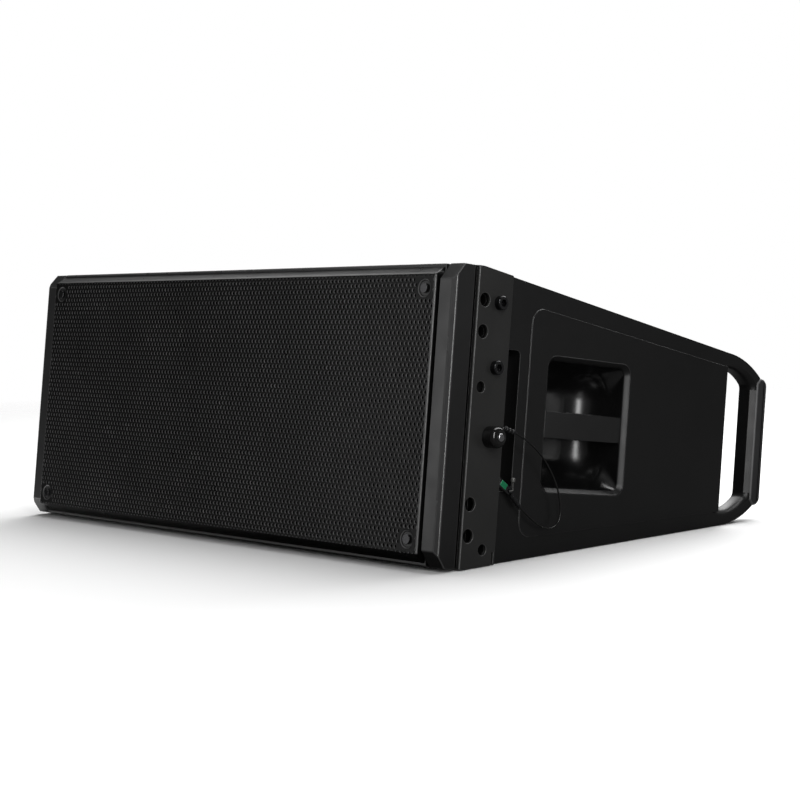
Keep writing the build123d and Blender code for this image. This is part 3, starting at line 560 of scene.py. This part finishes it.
def build_cup(side, sign):
    """A thin handle cup: a chamfered lip round a smooth bowl."""
    low, high = cabinet_box(f"handle_cup_{side}")
    middle_y, half_y = (low.y + high.y) / 2, (high.y - low.y) / 2
    half_z = (high.z - low.z) / 2
    face_x = max(abs(low.x), abs(high.x))
    bowl_depth = abs(high.x - low.x) - lip_depth - shell_wall - floor_gap
    # Each ring: how far in from the pad's face, how far in from the outline, corner radius
    rings = [(0.0, 0.0, lip_corner), (0.0, rim_land, lip_corner)]
    for share, ease in ((0.08, 0.0001), (0.5, 0.0), (0.92, -0.0001)):
        corner = lip_corner + (mouth_corner - lip_corner) * share
        rings.append((lip_depth * share + ease, rim_land + lip_depth * share, corner))
    mouth = rim_land + lip_depth
    rings.append((lip_depth + 0.0004, mouth + 0.0001, mouth_corner))
    rings.append((lip_depth + mouth_edge, mouth + 0.0002, mouth_corner))
    lip_rings = len(rings)
    wall_depth = bowl_depth - fillet_depth
    for step in range(1, wall_steps + 1):
        share = step / wall_steps
        corner = mouth_corner + (bowl_corner - mouth_corner) * share
        inset = mouth + 0.0002 + bowl_slope * wall_depth * share
        rings.append((lip_depth + mouth_edge + wall_depth * share, inset, corner))
    foot = rings[-1][1]
    for step in range(1, fillet_steps + 1):
        angle = step / fillet_steps * math.pi / 2
        inset = foot + fillet_depth * (1 - math.cos(angle))
        depth = lip_depth + wall_depth + mouth_edge + fillet_depth * math.sin(angle)
        rings.append((min(depth, lip_depth + bowl_depth), inset, bowl_corner - inset + foot))
    outside = [(lip_depth + mouth_edge, 0.0, lip_corner)]
    for x_in, inset, corner in rings[lip_rings:]:
        outside.append((x_in + shell_wall, inset - shell_wall, corner + shell_wall))
    made = bmesh.new()
    loops = []
    for x_in, inset, corner in rings[::-1] + outside:
        outline = rounded_rectangle(half_y - inset, half_z - inset, max(corner, least_corner))
        x = sign * (face_x - x_in)
        loops.append([made.verts.new((x, middle_y + y, z)) for y, z in outline])
    count = len(loops[0])
    lip_loops = loops[len(rings) - lip_rings : len(rings) - 1]
    for a, b in zip(loops, loops[1:]):
        for k in range(count):
            strip = made.faces.new((a[k - 1], a[k], b[k], b[k - 1]))
            strip.material_index = int(a in lip_loops)
    made.faces.new(loops[0])
    made.faces.new(loops[-1])
    bmesh.ops.recalc_face_normals(made, faces=made.faces)
    mesh = bpy.data.meshes.new(f"cup_shell_{side}")
    made.to_mesh(mesh)
    made.free()
    piece = add_piece(f"bowl_shell_{side}", mesh, "cup_plastic", "cabinet")
    mesh.materials.append(finishes["cabinet_plastic"])
    even = piece.modifiers.new("even_shading", "WEIGHTED_NORMAL")
    even.weight = 60
    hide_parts(f"handle_cup_{side}")


for side, sign in (("right", 1), ("left", -1)):
    build_cup(side, sign)


# Seal beads: a small ball on the cabinet beside each slot, wired to the anchor tab
bead_radius = 0.0026
band_radius = bead_radius * 0.88
bead_proud = 0.0007
bead_place = (0.0986, -0.0572)
wire_radius = 0.00045


def smooth_path(knots, steps):
    """A smooth line through the knots."""
    line = []
    for k in range(len(knots) - 1):
        a, b, c = knots[max(k - 1, 0)], knots[k], knots[k + 1]
        d = knots[min(k + 2, len(knots) - 1)]
        for step in range(steps):
            t = step / steps
            cubic = 3 * b - 3 * c + d - a
            line.append(b + ((c - a) * t + (2 * a - 5 * b + 4 * c - d) * t**2 + cubic * t**3) / 2)
    return line + [knots[-1]]


def tube(points, radius, name, around=12):
    """A smooth tube through points drawn in the cabinet's axes."""
    made = bmesh.new()
    side = Vector((1.0, 0.0, 0.0))
    rings = []
    for k, point in enumerate(points):
        ahead = points[min(k + 1, len(points) - 1)] - points[max(k - 1, 0)]
        ahead.normalize()
        side = (side - ahead * side.dot(ahead)).normalized()
        up = ahead.cross(side)
        ring = []
        for j in range(around):
            angle = 2 * math.pi * j / around
            way = side * math.cos(angle) + up * math.sin(angle)
            ring.append(made.verts.new(point + way * radius))
        rings.append(ring)
    for a, b in zip(rings, rings[1:]):
        for j in range(around):
            made.faces.new((a[j - 1], a[j], b[j], b[j - 1]))
    made.faces.new(rings[0][::-1])
    made.faces.new(rings[-1])
    bmesh.ops.recalc_face_normals(made, faces=made.faces)
    mesh = bpy.data.meshes.new(name)
    made.to_mesh(mesh)
    made.free()
    return mesh


def build_bead(side, sign):
    """A cast bead with a flattened band round its middle."""
    low, high = cabinet_box(f"side_cheek_{side}")
    face_x = max(abs(low.x), abs(high.x))
    place = Vector((face_x + bead_proud, *bead_place))
    made = bmesh.new()
    bmesh.ops.create_uvsphere(made, u_segments=32, v_segments=20, radius=bead_radius)
    for vertex in made.verts:
        away = math.hypot(vertex.co.x, vertex.co.y)
        if away > band_radius:
            vertex.co.x *= band_radius / away
            vertex.co.y *= band_radius / away
        vertex.co += place
        vertex.co.x *= sign
    bmesh.ops.recalc_face_normals(made, faces=made.faces)
    mesh = bpy.data.meshes.new(f"seal_bead_{side}")
    made.to_mesh(mesh)
    made.free()
    add_piece(f"seal_bead_{side}", mesh, "bead_cast", "cabinet")
    knots = [place, Vector((0.3500, 0.0984, -0.0605)), Vector((0.3506, 0.0980, -0.0642))]
    knots += [Vector((0.3522, 0.0966, -0.0668)), Vector((0.3531, 0.0943, -0.0677))]
    knots += [Vector((0.3531, 0.0922, -0.0677)), Vector((0.3517, 0.0910, -0.0676))]
    path = smooth_path([Vector((sign * k.x, k.y, k.z)) for k in knots], 8)
    wire = tube(path, wire_radius, f"seal_wire_{side}")
    add_piece(f"seal_wire_{side}", wire, "bead_cast", "cabinet")


for side, sign in (("right", 1), ("left", -1)):
    build_bead(side, sign)


# Lanyards: twisted wire rope from the anchor tab to the lock pin
lanyard_route = [
    (0.3610, 0.0846, -0.0114),
    (0.3606, 0.0995, -0.0165),
    (0.3602, 0.1135, -0.0233),
    (0.3598, 0.1270, -0.0320),
    (0.3592, 0.1390, -0.0430),
    (0.3586, 0.1490, -0.0545),
    (0.3580, 0.1570, -0.0675),
    (0.3573, 0.1625, -0.0820),
    (0.3566, 0.1625, -0.0950),
    (0.3558, 0.1530, -0.1032),
    (0.3550, 0.1395, -0.1020),
    (0.3542, 0.1230, -0.0940),
    (0.3532, 0.1065, -0.0826),
]
rope_radius = 0.0009
strand_lay = 0.009
strand_count = 6
groove_share = 0.14
rope_sides = 24


def spline_points(points, name):
    """Points along a smooth curve with these control points, in the part's frame."""
    curve = bpy.data.curves.new(name, "CURVE")
    curve.dimensions = "3D"
    curve.resolution_u = 24
    spline = curve.splines.new("NURBS")
    spline.points.add(len(points) - 1)
    for target, point in zip(spline.points, points):
        target.co = (*point, 1.0)
    spline.order_u = 3
    spline.use_endpoint_u = True
    holder = bpy.data.objects.new(name, curve)
    mesh = bpy.data.meshes.new_from_object(holder)
    line = [v.co.copy() for v in mesh.vertices]
    bpy.data.meshes.remove(mesh)
    bpy.data.objects.remove(holder)
    return line


def rope_mesh(line, name):
    """A tube round a line whose surface shows the twist of its strands."""
    made = bmesh.new()
    side = Vector((1.0, 0.0, 0.0))
    along = 0.0
    rings = []
    for k, point in enumerate(line):
        ahead = line[min(k + 1, len(line) - 1)] - line[max(k - 1, 0)]
        ahead.normalize()
        side = (side - ahead * side.dot(ahead)).normalized()
        up = ahead.cross(side)
        if k:
            along += (point - line[k - 1]).length
        twist = 2 * math.pi * along / strand_lay
        ring = []
        for j in range(rope_sides):
            angle = 2 * math.pi * j / rope_sides
            swell = abs(math.cos(strand_count * (angle - twist) / 2))
            radius = rope_radius * (1 - groove_share + groove_share * swell)
            way = side * math.cos(angle) + up * math.sin(angle)
            ring.append(made.verts.new(point + way * radius))
        rings.append(ring)
    for a, b in zip(rings, rings[1:]):
        for j in range(rope_sides):
            made.faces.new((a[j - 1], a[j], b[j], b[j - 1]))
    made.faces.new(rings[0][::-1])
    made.faces.new(rings[-1])
    bmesh.ops.recalc_face_normals(made, faces=made.faces)
    mesh = bpy.data.meshes.new(name)
    made.to_mesh(mesh)
    made.free()
    return mesh


def build_lanyard(side, sign):
    """The wire rope between the cabinet and its lock pin."""
    points = [cabinet @ Vector((sign * x, y, z)) for x, y, z in lanyard_route]
    line = spline_points(points, f"lanyard_line_{side}")
    mesh = rope_mesh(line, f"lanyard_rope_{side}")
    mesh.materials.append(finishes["lanyard_black"])
    mesh.polygons.foreach_set("use_smooth", [True] * len(mesh.polygons))
    rope = bpy.data.objects.new(f"lanyard_rope_{side}", mesh)
    bpy.context.scene.collection.objects.link(rope)
    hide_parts(f"lanyard_{side}")
    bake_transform(rope)


for side, sign in (("right", 1), ("left", -1)):
    build_lanyard(side, sign)


# ---------------------------------------------------------------- studio
def aim(thing, place, target):
    """Puts a light or the camera in place, looking at a point, upright."""
    thing.location = place
    thing.rotation_euler = (Vector(target) - Vector(place)).to_track_quat("-Z", "Y").to_euler()


def add_softbox(name, place, target, size, power):
    """A rectangular studio light aimed at the target."""
    light = bpy.data.lights.new(name, "AREA")
    light.shape = "RECTANGLE"
    light.size, light.size_y = size
    light.energy = power
    lamp = bpy.data.objects.new(name, light)
    bpy.context.scene.collection.objects.link(lamp)
    aim(lamp, place, target)


floor_radius = 4.0
floor_gap_below = 0.0005
world_glow = 0.10


def build_stage():
    """The pale floor and the world light."""
    made = bmesh.new()
    bmesh.ops.create_circle(made, cap_ends=True, radius=floor_radius, segments=96)
    mesh = bpy.data.meshes.new("studio_floor")
    made.to_mesh(mesh)
    made.free()
    floor = bpy.data.objects.new("studio_floor", mesh)
    floor.location = (0.0, 0.0, cad_low.z - floor_gap_below)
    bpy.context.scene.collection.objects.link(floor)
    material, tree, shader = graph("floor_paper")
    shader.inputs["Roughness"].default_value = 0.7
    seen = node(tree, "ShaderNodeLightPath").outputs["Is Camera Ray"]
    # To the object, the paper is pale only along the front edge, as under a softbox.
    where = node(tree, "ShaderNodeTexCoord")
    place = node(tree, "ShaderNodeSeparateXYZ")
    tree.links.new(where.outputs["Object"], place.inputs[0])
    patch = node(tree, "ShaderNodeMath", operation="MULTIPLY")
    tree.links.new(spread(tree, place.outputs["X"], 1.0, 0.0, -0.35, 0.1), patch.inputs[0])
    tree.links.new(spread(tree, place.outputs["Y"], 0.0, 1.0, -0.6, -0.4), patch.inputs[1])
    bounce = tint(tree, patch.outputs[0], (0.08, 0.08, 0.08), (0.8, 0.8, 0.8))
    paper = tint(tree, seen, (0.0, 0.0, 0.0), (0.9, 0.9, 0.9))
    tree.links.new(bounce, paper.node.inputs[6])
    tree.links.new(paper, shader.inputs["Base Color"])
    shader.inputs["Specular IOR Level"].default_value = 0.2
    distance = node(tree, "ShaderNodeVectorMath", operation="LENGTH")
    tree.links.new(where.outputs["Object"], distance.inputs[0])
    clear = node(tree, "ShaderNodeBsdfTransparent")
    fade = node(tree, "ShaderNodeMixShader")
    output = next(n for n in tree.nodes if n.type == "OUTPUT_MATERIAL")
    faded = spread(tree, distance.outputs["Value"], 0.0, 1.0, 0.9, 2.6)
    tree.links.new(faded, fade.inputs[0])
    tree.links.new(shader.outputs[0], fade.inputs[1])
    tree.links.new(clear.outputs[0], fade.inputs[2])
    tree.links.new(fade.outputs[0], output.inputs["Surface"])
    floor.data.materials.append(material)
    world = bpy.data.worlds.new("studio_world")
    bpy.context.scene.world = world
    world.use_nodes = True
    sky = world.node_tree
    background = next(n for n in sky.nodes if n.type == "BACKGROUND")
    background.inputs["Color"].default_value = (1.0, 1.0, 1.0, 1.0)
    seen = node(sky, "ShaderNodeLightPath").outputs["Is Camera Ray"]
    sky.links.new(spread(sky, seen, world_glow, 1.0, 0.0, 1.0), background.inputs["Strength"])


camera_place = (1.53384, -1.41613, 0.26662)
camera_azimuth = math.radians(46.778)
camera_drop = math.radians(3.587)
camera_roll = math.radians(-1.053)
focal_length = 80.66


def build_camera():
    """The camera at the photograph's viewing angle."""
    lens = bpy.data.cameras.new("camera")
    lens.sensor_width = 36.0
    lens.lens = focal_length
    lens.clip_start = 0.05
    camera = bpy.data.objects.new("camera", lens)
    bpy.context.scene.collection.objects.link(camera)
    level = math.cos(camera_drop)
    across, back = -math.sin(camera_azimuth) * level, math.cos(camera_azimuth) * level
    ahead = Vector((across, back, -math.sin(camera_drop)))
    camera.location = camera_place
    upright = ahead.to_track_quat("-Z", "Y").to_matrix().to_4x4()
    rolled = upright @ Matrix.Rotation(camera_roll, 4, "Z")
    camera.rotation_euler = rolled.to_euler()
    bpy.context.scene.camera = camera


build_stage()
build_camera()
bpy.context.scene.view_settings.view_transform = "Standard"
middle = (0.0, 0.0, 0.14)
add_softbox("overhead_box", (-0.3, 1.1, 2.2), middle, (2.4, 3.4), 125.0)
add_softbox("front_box", (-1.15, -1.75, 0.45), middle, (0.45, 0.9), 4.0)
add_softbox("camera_box", (1.85, -1.0, 0.85), (0.35, 0.1, 0.2), (0.4, 1.7), 20.0)
add_softbox("back_box", (-1.8, 0.8, 1.45), middle, (0.9, 0.6), 3.0)
add_softbox("right_box", (1.8, 1.25, 0.4), (0.35, 0.0, 0.14), (0.3, 0.8), 0.4)
